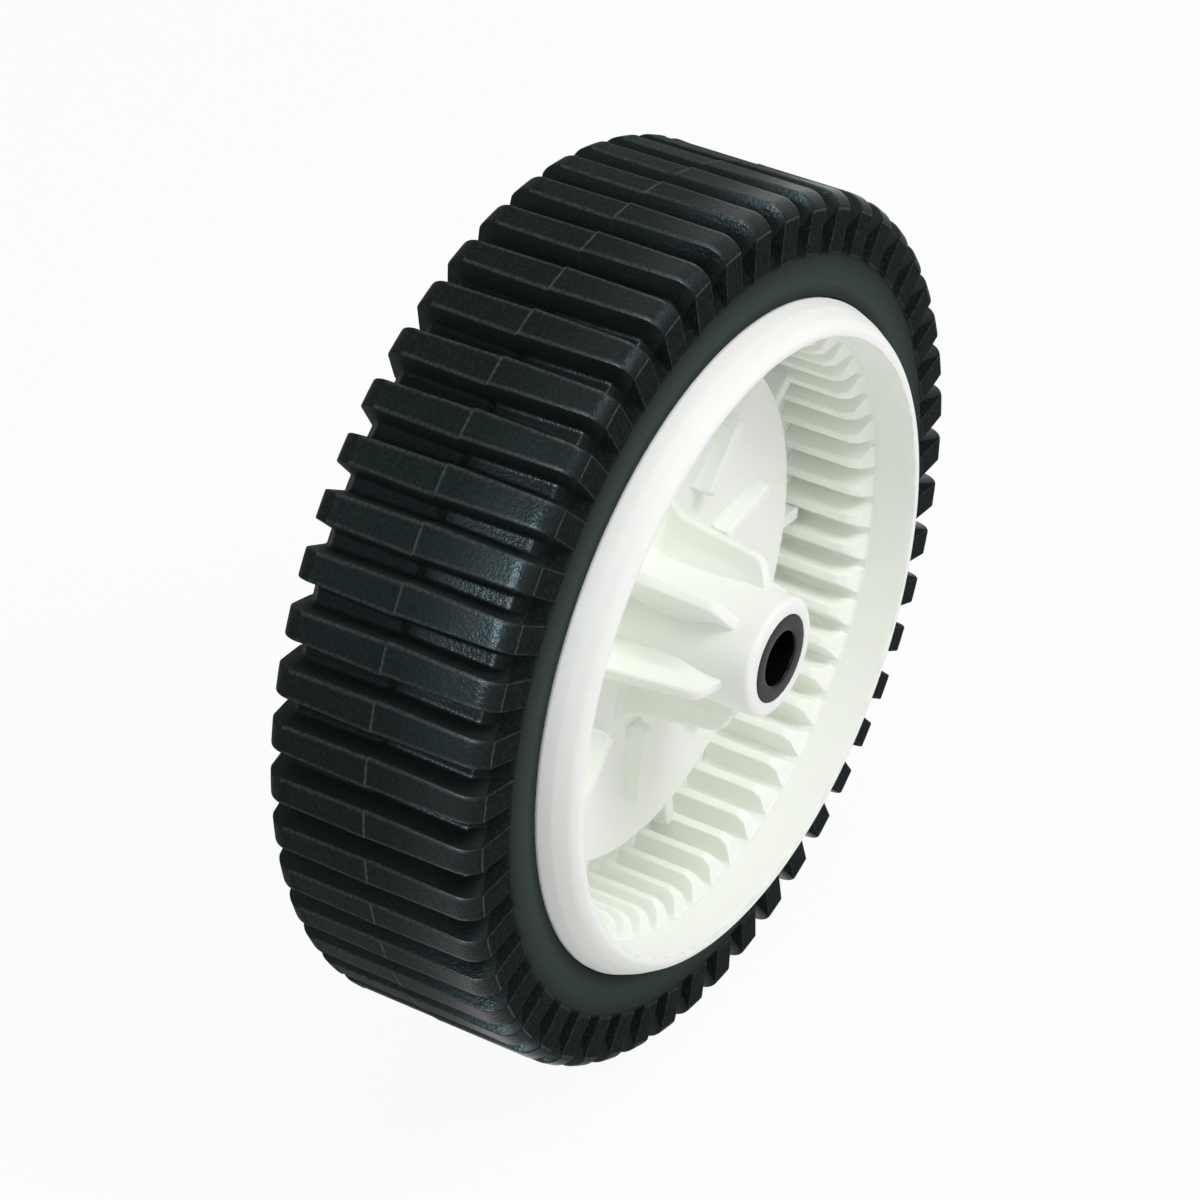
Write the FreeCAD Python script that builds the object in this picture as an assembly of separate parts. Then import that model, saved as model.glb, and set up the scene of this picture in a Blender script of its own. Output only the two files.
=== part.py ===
import FreeCAD, Part
import math
import os

# Self-propelled lawn mower drive wheel: bar-tread tyre, one-piece hub with an internal ring gear, axle bush.
# Frame in millimetres: origin on the axle at the tyre's middle plane, +Y to the gear side, +Z up.
# Sections are drawn as (radius, y) and turned about the axle.

# Tyre
tyre_diameter = 203.2
tyre_section_height = 23.2     # rim seat to the top of a bar
tread_half_width = 26.5        # middle plane to the edge between a bar's shoulder and its end face
shoulder_round = 4.5           # from the top of a bar down to that edge
sidewall_half_width = 26.9     # where the grooves run out
groove_depth = 5.8
groove_half_width_axial = 21.6  # where a groove floor turns down to the sidewall
groove_run_out = 13.6          # top of the bars to the end of a groove on the sidewall
bar_end_land = 0.3             # bar ends stand proud of the sidewall
bar_end_step = 0.7             # from the end of a groove to the end of a bar
bar_count = 50
bar_width = 6.6                # at the mould line
bar_end_narrowing = 1.4        # width lost from the mould line to the tread's edge
bar_side_slope = 0.06
bar_first_angle = 3.2
tyre_seat_gap = 0.1

# Ring gear
gear_module = 2.54
pressure_angle = 20.0
tooth_root_clearance = 0.4
tooth_first_angle = 4.6        # to the middle of a tooth space
gear_back = 3.0
gear_face_width = 21.0
tooth_end_bevel = 2.2

# Rim
rim_wall = 6.88                # tooth root to tyre seat
rim_bead_half_width = 27.3     # where the tyre's sidewall meets the rim
lip_top = 34.8
lip_width = 2.6
lip_ease = 0.9
lip_draft = 0.4
rim_flank_foot = 1.3           # rim edge outside the tyre, up to the foot of the lip
rim_flank_land = 1.6
back_lip_width = 4.0
back_lip_height = 1.2

# Web disc
disc_front = 8.1               # at the disc's edge
disc_dish = 2.5                # lower inside than at the edge
disc_slope = 10.0              # width of the slope from the level dish up to the disc's edge
disc_edge_gap = 6.6            # tooth tip to the disc's edge
web_wall = 4.0
web_ease = 1.5
rib_count = 10
rib_first_angle = 28.5
rib_inner_radius = 29.0
rib_length = 19.0
rib_height = 4.6
rib_thickness = 3.0
rib_end_ease = 0.8
bridge_first_angle = 10.5      # ties from the disc's edge to the teeth, between the ribs
bridge_width = 3.6
bridge_drop = 0.4              # below the disc's edge

# Boss and fins
boss_diameter = 28.0
boss_front = 40.6
boss_back = -14.0
boss_edge_ease = 0.6
fin_count = 6
fin_first_angle = -4.0
fin_thickness = 3.2
fin_foot_reach = 10.4          # beyond the boss, at the disc
fin_nose_reach = 6.3           # beyond the boss, at the front
fin_set_back = 7.4             # boss face to the fin's nose
fin_nose_ease = 2.2
fin_nose_rise = 1.0            # the nose rises to the boss

# Axle bush
bush_diameter = 20.64
bush_press_gap = 0.02
axle_diameter = 12.7
axle_running_gap = 0.05
bush_chamfer = 0.5

# How far one feature of a moulding reaches into the next, so that they join
bite = 1.0

# Worked out from the sizes above
tyre_radius = tyre_diameter / 2
groove_radius = tyre_radius - groove_depth
seat_radius = tyre_radius - tyre_section_height
tooth_depth_below_pitch = gear_module + tooth_root_clearance
tooth_count = round(2 * (seat_radius - rim_wall - tooth_depth_below_pitch) / gear_module)
pitch_radius = gear_module * tooth_count / 2
tip_radius = pitch_radius - gear_module
root_radius = pitch_radius + tooth_depth_below_pitch
disc_radius = tip_radius - disc_edge_gap
boss_radius = boss_diameter / 2
bush_radius = bush_diameter / 2
boss_bore_radius = bush_radius + bush_press_gap
axle_bore_radius = axle_diameter / 2 + axle_running_gap
gear_front = gear_back + gear_face_width
web_back = gear_back - web_wall
fin_front = boss_front - fin_set_back
boss_root = (boss_bore_radius + boss_radius) / 2
dish_floor = disc_front - disc_dish

AXLE = FreeCAD.Vector(0, 1, 0)
CENTRE = FreeCAD.Vector(0, 0, 0)


def eased_corner(before, here, after, ease):
    """Points that replace a corner: itself, or the two ends of a cut that takes ease off both its sides."""
    if ease <= 0:
        return [here]
    points = []
    for other in (before, after):
        side = other - here
        reach = min(ease, 0.49 * side.Length)
        points.append(here + side.normalize() * reach)
    return points


def section_face(corners):
    """Face in the XY plane from (radius, y, ease) corners; an ease of 0 keeps the corner sharp."""
    points = [FreeCAD.Vector(radius, y, 0) for radius, y, ease in corners]
    outline = []
    for i, (radius, y, ease) in enumerate(corners):
        outline += eased_corner(points[i - 1], points[i], points[(i + 1) % len(points)], ease)
    return Part.Face(Part.makePolygon(outline + outline[:1]))


def turned(corners):
    """Solid of revolution about the axle."""
    return section_face(corners).revolve(CENTRE, AXLE, 360)


def around(shape, angle):
    """Copy of a shape turned about the axle; angle 0 points along +X and 90 along +Z."""
    copy = shape.copy()
    copy.rotate(CENTRE, AXLE, -angle)
    return copy


def pattern(shape, count, first_angle):
    """Equally spaced copies about the axle."""
    return [around(shape, first_angle + 360.0 * i / count) for i in range(count)]


def plate(outline, thickness):
    """Radial plate: an outline of (radius, y, ease) corners, thickened to both sides of the XY plane."""
    solid = section_face(outline).extrude(FreeCAD.Vector(0, 0, thickness))
    solid.translate(FreeCAD.Vector(0, 0, -thickness / 2))
    return solid


def hexahedron(low, high):
    """Solid between two four-cornered loops, corner to corner."""
    faces = [low, high] + [[low[i], low[(i + 1) % 4], high[(i + 1) % 4], high[i]] for i in range(4)]
    shells = Part.Shell([Part.Face(Part.makePolygon(loop + [loop[0]])) for loop in faces])
    solid = Part.Solid(shells)
    solid.fixTolerance(1e-6)
    return solid


def bar_half_width(radius, y):
    """A bar widens towards its foot and narrows from the mould line to the tread's edge."""
    narrowing = bar_end_narrowing / 2 * abs(y) / tread_half_width
    return bar_width / 2 + bar_side_slope * (tyre_radius - radius) - narrowing


def bar_blank(low_radius, high_radius, reach):
    """Straight-sided block for one bar, its two halves meeting at the mould line."""
    halves = []
    for side in (-1, 1):
        loops = []
        for y in (0, side * reach):
            low = bar_half_width(low_radius, y)
            high = bar_half_width(high_radius, y)
            loops.append([FreeCAD.Vector(low_radius, y, -low), FreeCAD.Vector(high_radius, y, -high),
                          FreeCAD.Vector(high_radius, y, high), FreeCAD.Vector(low_radius, y, low)])
        halves.append(hexahedron(*loops))
    return halves[0].fuse(halves[1])


def tyre_bar(carcass_middle, foot):
    """One cross bar: flat top, round shoulders in three flats, end faces just proud of the sidewalls."""
    end = sidewall_half_width + bar_end_land
    half = [(carcass_middle, groove_half_width_axial, 0), (foot, groove_half_width_axial, 0), (foot, end, 0)]
    for angle in (90, 60, 30, 0):
        fall = shoulder_round * (1 - math.cos(math.radians(angle)))
        reach = shoulder_round * (1 - math.sin(math.radians(angle)))
        half.append((tyre_radius - fall, tread_half_width - reach, 0))
    mirrored = [(radius, -y, ease) for radius, y, ease in reversed(half)]
    envelope = plate(half + mirrored, 2 * bar_width)
    return bar_blank(carcass_middle - bite, tyre_radius + bite, end + bite).common(envelope)


def tyre():
    """Carcass with smooth sidewalls, and cross bars that turn over both shoulders."""
    bore = seat_radius + tyre_seat_gap
    run_out = tyre_radius - groove_run_out
    half = [(bore, rim_bead_half_width, 0), (run_out, sidewall_half_width, 0),
            (groove_radius, groove_half_width_axial, 0)]
    carcass = turned(half + [(radius, -y, ease) for radius, y, ease in reversed(half)])
    bar = tyre_bar((bore + groove_radius) / 2, run_out + bar_end_step)
    return carcass.multiFuse(pattern(bar, bar_count, bar_first_angle)).removeSplitter()


def involute_angle(radius):
    """Angle swept by the involute between its base circle and a radius."""
    base = pitch_radius * math.cos(math.radians(pressure_angle))
    roll = math.sqrt((radius / base) ** 2 - 1)
    return roll - math.atan(roll)


def gear_point(radius, angle):
    return FreeCAD.Vector(radius * math.cos(angle), 0, radius * math.sin(angle))


def tooth_space():
    """One gap between teeth: involute flanks, open inwards past the tips, an arc at the root."""
    half_gap = math.pi / (2 * tooth_count)

    def flank(radius):
        return half_gap + involute_angle(pitch_radius) - involute_angle(radius)

    inside = tip_radius - bite
    radii = (tip_radius, pitch_radius, root_radius)
    low = [gear_point(radius, -flank(radius)) for radius in radii]
    high = [gear_point(radius, flank(radius)) for radius in radii]
    mouth = [gear_point(inside, -flank(tip_radius)), gear_point(inside, flank(tip_radius))]
    edges = [Part.LineSegment(mouth[0], low[0]).toShape(), Part.Arc(*low).toShape(),
             Part.Arc(low[2], gear_point(root_radius, 0), high[2]).toShape(),
             Part.Arc(*reversed(high)).toShape(),
             Part.LineSegment(high[0], mouth[1]).toShape(), Part.LineSegment(mouth[1], mouth[0]).toShape()]
    gap = Part.Face(Part.Wire(edges)).extrude(FreeCAD.Vector(0, gear_face_width + bite, 0))
    gap.translate(FreeCAD.Vector(0, gear_back, 0))
    return gap


def gear_ring():
    """Toothed ring: teeth bevelled at the front, run straight back to the web."""
    outside = root_radius + rim_wall / 2
    blank = turned([(tip_radius, gear_back, 0), (outside, gear_back, 0), (outside, gear_front, 0),
                    (root_radius, gear_front, 0), (tip_radius, gear_front - tooth_end_bevel, 0)])
    return blank.cut(Part.makeCompound(pattern(tooth_space(), tooth_count, tooth_first_angle)))


def hub_body():
    """Rim, lip, web disc and boss as one turned section, bored for the bush."""
    wall = root_radius + lip_draft
    lip_outer = wall + lip_width
    edge = rim_bead_half_width + rim_flank_foot
    back_edge = -rim_bead_half_width - back_lip_height
    back_wall = seat_radius - back_lip_width
    front = [(boss_bore_radius, boss_front, 0), (boss_radius, boss_front, boss_edge_ease),
             (boss_radius, dish_floor, web_ease), (disc_radius - disc_slope, dish_floor, 0),
             (disc_radius, disc_front, 0), (disc_radius, gear_back, 0), (root_radius, gear_back, 0),
             (root_radius, gear_front, 0), (wall, lip_top, 0), (lip_outer, lip_top, lip_ease),
             (seat_radius - rim_flank_land, edge, 0), (seat_radius, edge, 0)]
    back = [(seat_radius, back_edge, 0), (back_wall, back_edge, lip_ease),
            (back_wall - lip_draft, web_back, 0), (disc_radius - web_wall / 2, web_back, 0),
            (disc_radius - web_wall, dish_floor - web_wall, 0),
            (boss_radius, dish_floor - web_wall, web_ease), (boss_radius, boss_back, boss_edge_ease),
            (boss_bore_radius, boss_back, 0)]
    return turned(front + back)


def fin():
    """Tapered fin along the boss, with an eased nose."""
    foot = dish_floor - web_wall / 2
    return plate([(boss_root, foot, 0), (boss_radius + fin_foot_reach, foot, 0),
                  (boss_radius + fin_nose_reach, fin_front, fin_nose_ease),
                  (boss_root, fin_front + fin_nose_rise, 0)], fin_thickness)


def web_rib():
    """Low radial rib on the dish of the disc."""
    foot = dish_floor - web_wall / 4
    top = dish_floor + rib_height
    outer = rib_inner_radius + rib_length
    return plate([(rib_inner_radius, foot, 0), (outer, foot, 0), (outer, top, rib_end_ease),
                  (rib_inner_radius, top, rib_end_ease)], rib_thickness)


def bridge():
    """Small tie across the groove, level with the disc's edge and running into the teeth."""
    foot = gear_back - bite
    top = disc_front - bridge_drop
    return plate([(disc_radius - bite, foot, 0), (pitch_radius, foot, 0), (pitch_radius, top - bite, 0),
                  (tip_radius, top, 0), (disc_radius - bite, top, 0)], bridge_width)


def wheel_hub():
    """The white moulding: turned body, ring gear, fins, ribs and ties in one piece."""
    details = [gear_ring()]
    details += pattern(fin(), fin_count, fin_first_angle)
    details += pattern(web_rib(), rib_count, rib_first_angle)
    details += pattern(bridge(), rib_count, bridge_first_angle)
    return hub_body().multiFuse(details).removeSplitter()


def axle_bush():
    """Plain sleeve, flush with both ends of the boss, its bore chamfered."""
    chamfer = axle_bore_radius + bush_chamfer
    return turned([(axle_bore_radius, boss_back + bush_chamfer, 0), (chamfer, boss_back, 0),
                   (bush_radius, boss_back, 0), (bush_radius, boss_front, 0), (chamfer, boss_front, 0),
                   (axle_bore_radius, boss_front - bush_chamfer, 0)])


def main():
    os.makedirs("parts", exist_ok=True)
    for build in (tyre, wheel_hub, axle_bush):
        shape = build()
        if len(shape.Solids) == 1:
            shape = shape.Solids[0]
        print(build.__name__, shape.ShapeType, shape.isValid(), round(shape.Volume), len(shape.Faces))
        shape.exportStep("parts/" + build.__name__ + ".step")


main()
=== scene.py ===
import math

import bpy
import numpy as np
from mathutils import Matrix, Vector


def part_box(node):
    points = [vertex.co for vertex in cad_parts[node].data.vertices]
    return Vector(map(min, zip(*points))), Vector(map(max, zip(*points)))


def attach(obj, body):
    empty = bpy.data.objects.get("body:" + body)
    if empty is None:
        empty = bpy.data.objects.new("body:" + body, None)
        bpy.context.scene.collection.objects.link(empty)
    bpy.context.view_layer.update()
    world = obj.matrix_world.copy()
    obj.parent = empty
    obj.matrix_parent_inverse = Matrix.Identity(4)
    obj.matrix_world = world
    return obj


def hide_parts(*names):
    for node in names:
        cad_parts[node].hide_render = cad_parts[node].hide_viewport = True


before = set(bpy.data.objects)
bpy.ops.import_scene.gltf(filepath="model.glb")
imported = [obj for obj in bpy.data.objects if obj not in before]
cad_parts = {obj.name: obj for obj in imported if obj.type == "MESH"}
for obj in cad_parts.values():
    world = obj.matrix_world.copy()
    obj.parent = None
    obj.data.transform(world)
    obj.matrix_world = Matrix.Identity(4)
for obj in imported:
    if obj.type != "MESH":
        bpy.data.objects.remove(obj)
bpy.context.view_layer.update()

bl_info = {
    "name": "Mower drive wheel",
    "version": (1, 0, 0),
    "blender": (4, 5, 0),
    "location": "3D View > Sidebar > Wheel",
    "description": "Bar-tread tyre, white hub with an internal ring gear and a black axle bush",
    "category": "Add Mesh",
}

MM = 0.001
BODY = "root"
TYRE_LOW, TYRE_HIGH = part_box("tyre")
HUB_LOW, HUB_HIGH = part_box("wheel_hub")
BUSH_LOW, BUSH_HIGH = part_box("axle_bush")

# Rows of the tyre's section, as shares of the way from one mark to the next
BEAD_ROWS = (0, 0.25, 0.5, 0.75)
WALL_ROWS = (0, 0.3, 0.6, 0.85, 0.96)
FACE_ROWS = (0, 0.03, 0.06, 0.1, 0.2, 0.4, 0.6, 0.8, 0.94, 0.98)
SHOULDER_ROWS = (0, 0.03, 0.08, 0.18, 0.32, 0.46, 0.6, 0.75, 0.88, 0.95)
TOP_ROWS = (0, 0.02, 0.05, 0.12, 0.25, 0.4, 0.55, 0.7, 0.83, 0.93, 0.965, 0.98, 0.99, 1)
FACE_FOOT, FACE_EDGE, FLOOR_TURN = 2, 3, 4

# Steps around the turned pieces
HUB_COLUMNS = 540
BUSH_COLUMNS = 192

# Sockets of a Mix node set to colour share their names with others, so they go by number
MIX_FIRST, MIX_SECOND, MIX_COLOUR = 6, 7, 2

# Lamps: name, place in metres, side in metres, watts, tint
SOFTBOX_TINT = (0.96, 0.94, 1.0)
LAMPS = (
    ("key_softbox", (-0.1, 0.66, 1.0), 0.5, 7.3, SOFTBOX_TINT),
    ("front_fill", (0.5, 1.0, 0.45), 0.8, 1.3, SOFTBOX_TINT),
    ("tread_sheen", (0.93, -0.06, 0.58), 0.42, 19.0, (0.8, 0.93, 1.0)),
)
AMBIENT_TINT, AMBIENT_STRENGTH = (0.96, 0.95, 1.0, 1.0), 0.44
WHITE = (1.0, 1.0, 1.0, 1.0)
FLOOR_GLOW = 0.94
FLOOR_REACH = 3.0
FLOOR_GAP = 0.2 * MM

# Camera fitted to the wheel's circles
CAMERA_AZIMUTH, CAMERA_RISE = math.radians(58.16), math.radians(36.15)
CAMERA_DISTANCE = 941.1 * MM
CAMERA_LENS, CAMERA_SENSOR = 126.45, 36.0
CAMERA_SHIFT_X, CAMERA_SHIFT_Y = -0.0194, 0.0009


def linear(code):
    """An sRGB hex colour as linear red, green, blue and full alpha."""
    srgb = [int(code[i:i + 2], 16) / 255 for i in (1, 3, 5)]
    return tuple(c / 12.92 if c <= 0.04045 else ((c + 0.055) / 1.055) ** 2.4 for c in srgb) + (1.0,)


def length(name, description, default):
    """A length property whose default is given in millimetres."""
    return bpy.props.FloatProperty(name=name, description=description, default=default * MM, unit="LENGTH")


def turn(name, description, degrees):
    """An angle property whose default is given in degrees."""
    return bpy.props.FloatProperty(name=name, description=description, default=math.radians(degrees),
                                   subtype="ANGLE")


def number(name, description, default):
    """A property that counts like features."""
    return bpy.props.IntProperty(name=name, description=description, default=default, min=3)


def colour(name, description, code):
    """A colour property whose default is given as sRGB hex."""
    return bpy.props.FloatVectorProperty(name=name, description=description, default=linear(code),
                                         subtype="COLOR", size=4, min=0.0, max=1.0)


class TyreSizes(bpy.types.PropertyGroup):
    """Sizes of the tyre's section and of its cross bars."""
    radius: length("Radius", "Axle to the top of the bars", TYRE_HIGH.z / MM)
    shoulder: length("Shoulder", "Middle plane to the edge between a bar's shoulder and its end face", 27.2)
    far_shoulder: length("Far shoulder", "The same on the side away from the gear", 25.6)
    shoulder_drop: length("Shoulder drop", "Top of a bar down to the edge of its end face", 3.1)
    sidewall: length("Sidewall", "Middle plane to the sidewall at the bar ends", 27.3)
    bar_end: length("Bar end", "Middle plane to a bar's end face at its foot", 27.7)
    bar_end_radius: length("Bar end radius", "Axle to the inner end of a bar on the sidewall", 88.7)
    bead: length("Bead", "Middle plane to the sidewall's edge at the rim", 27.3)
    seat: length("Seat", "Axle to the tyre's seat on the rim", 78.4)
    groove: length("Groove depth", "Top of the bars to the groove floor", 5.8)
    groove_turn: length("Groove turn", "Middle plane to where the groove floor turns down", 21.8)
    bar_width: length("Bar width", "Width of a bar's top at the mould line", 7.3)
    bar_taper: length("Bar taper", "Width lost from the mould line to the shoulder", 1.0)
    far_taper: length("Far taper", "The same on the side away from the gear", 0.9)
    mismatch: length("Mould mismatch", "Shift between the bar halves of the two mould sides", 0.3)
    flash_height: length("Flash height", "Rise of the flash along the mould line", 0.12)
    half_step: length("Half step", "Drop of the far half's bar tops below the near half's", 0.15)
    notch: length("Notch", "Depth of the notch in the groove floors at the mould line", 0.9)
    bar_count: number("Bars", "Cross bars around the tyre", 50)
    bar_angle: turn("First bar", "Turn of the first bar from +X", 3.4)


class HubSizes(bpy.types.PropertyGroup):
    """Sizes of the white moulding: rim, ring gear, web, boss, fins and ribs."""
    lip_top: length("Lip top", "Middle plane to the top of the rim's lip", 35.0)
    rim_wall: length("Rim wall", "Thickness of the rim at its far edge", 4.0)
    gear_tip: length("Tooth tip", "Axle to the tips of the teeth", 66.04)
    gear_root: length("Tooth root", "Axle to the roots of the teeth", 71.5)
    gear_front: length("Gear front", "Middle plane to the front of the teeth", 24.2)
    gear_back: length("Gear back", "Middle plane to the groove behind the disc's edge", 3.0)
    backing: length("Backing", "Middle plane to the far side of the groove's floor", -1.0)
    tooth_width: length("Tooth width", "Width of a tooth at its tip", 2.4)
    tooth_count: number("Teeth", "Teeth of the ring gear", 54)
    tooth_angle: turn("First tooth", "Turn of the first tooth from +X", 7.92)
    disc_radius: length("Disc radius", "Axle to the edge of the web disc", 59.44)
    disc_front: length("Disc front", "Middle plane to the disc's edge", 8.1)
    dish_floor: length("Dish floor", "Middle plane to the disc beside the boss", 5.6)
    web: length("Web", "Thickness of the web disc", 4.0)
    boss_radius: length("Boss radius", "Axle to the boss's side", 14.0)
    boss_back: length("Boss back", "Middle plane to the boss's far end", -14.0)
    fin_count: number("Fins", "Fins along the boss", 6)
    fin_angle: turn("First fin", "Turn of the first fin from +X", -4.0)
    fin_thickness: length("Fin thickness", "Thickness of a fin at its edge", 3.0)
    fin_reach: length("Fin reach", "Boss's side to the tip of a fin's run-out on the disc", 24.0)
    fin_foot: length("Fin foot", "Boss's side to a fin's edge at the disc", 9.8)
    fin_shoulder: length("Fin shoulder", "Boss's side to a fin's edge at its nose", 6.4)
    fin_nose: length("Fin nose", "Middle plane to the start of a fin's nose", 31.0)
    fin_top: length("Fin top", "Middle plane to the end of a fin on the boss", 34.2)
    rib_count: number("Ribs", "Low ribs on the disc", 10)
    rib_angle: turn("First rib", "Turn of the first rib from +X", 28.5)
    rib_thickness: length("Rib thickness", "Thickness of a low rib", 3.5)
    rib_inner: length("Rib inner end", "Axle to the inner end of a low rib", 29.0)
    rib_outer: length("Rib outer end", "Axle to the outer end of a low rib", 47.6)
    rib_height: length("Rib height", "Dish floor to the top of a low rib", 4.8)
    tie_thickness: length("Tie thickness", "Thickness of a tie at the disc's edge", 3.2)


class BushSizes(bpy.types.PropertyGroup):
    """Sizes of the axle bush."""
    outer: length("Outer radius", "Axle to the outside of the bush", BUSH_HIGH.x / MM)
    bore: length("Bore radius", "Axle to the running surface", 6.4)


class WheelColours(bpy.types.PropertyGroup):
    """Colours of the finishes."""
    tyre: colour("Tyre", "Tread and bars", "#0f1614")
    # The sidewall colour also serves as painted light on the walls of the bars
    sidewall: colour("Sidewall", "Smooth side of the tyre", "#38433f")
    scuff: colour("Scuffs", "Flash line at the rim's inner edge", "#8d8d86")
    fleck: colour("Flecks", "Pale grains of the tyre's surface", "#2d3633")
    # Colour of the real flash line and of the painted highlights on the bars' edges, end faces and groove
    # turns
    flash_and_painted_highlight: colour("Rubbed edges", "Flash line and rubbed edges of the bars", "#76827f")
    nylon: colour("Hub", "Natural white of the hub", "#f7fbf0")
    bush: colour("Bush", "Axle bush", "#090b0b")
    floor: colour("Floor", "Pale studio floor", "#f4f4f4")


def rounded_path(corners, arc_points=9):
    """Polyline through (radius, y, rounding) corners in millimetres; each rounding becomes an arc that
    touches both neighbouring sides."""
    straight = 1.56
    most_of_half = 0.49
    points = np.array([corner[:2] for corner in corners], float)
    path = [points[0]]
    for i in range(1, len(corners) - 1):
        rounding = corners[i][2]
        before = points[i - 1] - points[i]
        after = points[i + 1] - points[i]
        room = most_of_half * min(np.linalg.norm(before), np.linalg.norm(after))
        before /= np.linalg.norm(before)
        after /= np.linalg.norm(after)
        half = math.acos(np.clip(before @ after, -1, 1)) / 2
        if rounding <= 0 or half > straight:
            path.append(points[i])
            continue
        reach = min(rounding / math.tan(half), room)
        radius = reach * math.tan(half)
        middle = (before + after) / np.linalg.norm(before + after)
        centre = points[i] + middle * radius / math.sin(half)
        start = points[i] + before * reach - centre
        end = points[i] + after * reach - centre
        first = math.atan2(start[1], start[0])
        sweep = (math.atan2(end[1], end[0]) - first + math.pi) % (2 * math.pi) - math.pi
        angles = first + sweep * np.linspace(0, 1, arc_points)
        path.extend(centre + radius * np.stack([np.cos(angles), np.sin(angles)], 1))
    path.append(points[-1])
    return np.array(path)


def run_length(path):
    """Distance along a polyline at each of its points."""
    return np.concatenate([[0], np.cumsum(np.linalg.norm(np.diff(path, axis=0), axis=1))])


def at_length(path, where):
    """Points of a polyline at the given distances along it."""
    along = run_length(path)
    return np.stack([np.interp(where, along, path[:, k]) for k in range(path.shape[1])], 1)


def filled_in(path, count):
    """A polyline with its own points and a count of evenly spaced ones."""
    along = run_length(path)
    return at_length(path, np.unique(np.concatenate([np.linspace(0, along[-1], count), along])))


def spun(radius, y, angle):
    """Cylinder coordinates in millimetres, as arrays, to frame coordinates in metres."""
    return np.stack([radius * np.cos(angle), y + 0 * angle, radius * np.sin(angle)], -1) * MM


def torus_faces(rows, columns):
    """Quads of a grid that closes on itself both ways."""
    i, j = np.meshgrid(np.arange(rows), np.arange(columns), indexing="ij")
    down, right = (i + 1) % rows, (j + 1) % columns
    quads = np.stack([i * columns + j, i * columns + right, down * columns + right, down * columns + j], -1)
    return quads.reshape(-1, 4)


def tube_faces(rows, columns):
    """Quads of a grid that closes along its columns, and one polygon at each end row."""
    quads = torus_faces(rows, columns)[:(rows - 1) * columns]
    ends = [np.arange(columns)[::-1], (rows - 1) * columns + np.arange(columns)]
    return [tuple(q) for q in quads] + [tuple(e) for e in ends]


def mesh_piece(name, points, faces, material, sharp=40.0):
    """A piece from points and faces: outward normals, smooth but for edges sharper than the given angle."""
    mesh = bpy.data.meshes.new(name)
    corners = points.reshape(-1, 3)
    mesh.from_pydata(corners.tolist(), [], [tuple(f) for f in faces])
    if mesh.validate():
        raise RuntimeError(name + " has faces that don't form a clean mesh")
    first = np.array([f[:3] for f in faces])
    a, b, c = corners[first[:, 0]], corners[first[:, 1]], corners[first[:, 2]]
    if np.einsum("ij,ij->", a, np.cross(b, c)) < 0:
        mesh.flip_normals()
    mesh.shade_smooth()
    mesh.set_sharp_from_angle(angle=math.radians(sharp))
    mesh.materials.append(material)
    piece = bpy.data.objects.new(name, mesh)
    bpy.context.scene.collection.objects.link(piece)
    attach(piece, BODY)
    return piece


def ring_piece(name, section, columns, material, sharp=40.0):
    """Closed section of (radius, y) points turned about the axle."""
    angle = np.linspace(0, 2 * np.pi, columns, endpoint=False)
    points = spun(section[:, :1] + 0 * angle, section[:, 1:] + 0 * angle, angle[None, :])
    return mesh_piece(name, points, torus_faces(len(section), columns), material, sharp)


def nylon_piece(name, points, faces):
    """A white piece that shares the hub's material."""
    return mesh_piece(name, points, faces, bpy.data.materials["natural_white_nylon"], 50.0)


def point_layer(piece, name, values):
    """Stores one number for each point of a piece, for its material to read."""
    layer = piece.data.attributes.new(name, "FLOAT", "POINT")
    layer.data.foreach_set("value", values.ravel().astype(np.float32))


def barred_ring(tops, floors, half_top, half_foot, count, first_angle, edge_round, foot_round):
    """Ring of equal bars with grooves between them. Along each row of the section, a bar's outline runs
    level from its middle to an edge arc, down a sloping wall, through a foot arc and level to the middle of
    the groove; level is the row's top point, and the groove floor is the row's floor point. Tangential
    distances become angles at the point's own radius. Returns points as rows by columns."""
    depth = np.linalg.norm(tops - floors, axis=1)
    most_round = 0.4 * depth
    edge = np.minimum(edge_round, most_round)[:, None]
    foot = np.minimum(foot_round, most_round)[:, None]
    top, low = half_top[:, None], half_foot[:, None]
    drop = depth[:, None]
    pitch = (np.pi / count) * floors[:, :1]
    bend = np.radians([0, 30, 60, 86])
    level = (top - edge) * np.array([0.0, 0.8])
    edge_run = top - edge + edge * np.sin(bend)
    edge_fall = edge * (1 - np.cos(bend))
    foot_run = low + foot - foot * np.sin(bend[::-1])
    foot_fall = drop - foot * (1 - np.cos(bend[::-1]))
    groove = low + foot + (pitch - low - foot) * np.array([0.35, 1.0])
    run = np.concatenate([level, edge_run, foot_run, groove], 1)
    fall = np.concatenate([0 * level, edge_fall, foot_fall, 0 * groove + drop], 1)
    run = np.concatenate([-run[:, :0:-1], run[:, :-1]], 1)
    fall = np.concatenate([fall[:, :0:-1], fall[:, :-1]], 1)
    share = fall / np.maximum(drop, 1e-6)
    radius = tops[:, :1] + (floors[:, :1] - tops[:, :1]) * share
    y = tops[:, 1:] + (floors[:, 1:] - tops[:, 1:]) * share
    middle = first_angle + 2 * np.pi * np.arange(count) / count
    angle = middle[None, :, None] + (run / radius)[:, None, :]
    shape = (len(tops), count * run.shape[1])
    spread = np.ones((1, count, 1))
    return spun((radius[:, None, :] * spread).reshape(shape), (y[:, None, :] * spread).reshape(shape),
                angle.reshape(shape))


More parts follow.
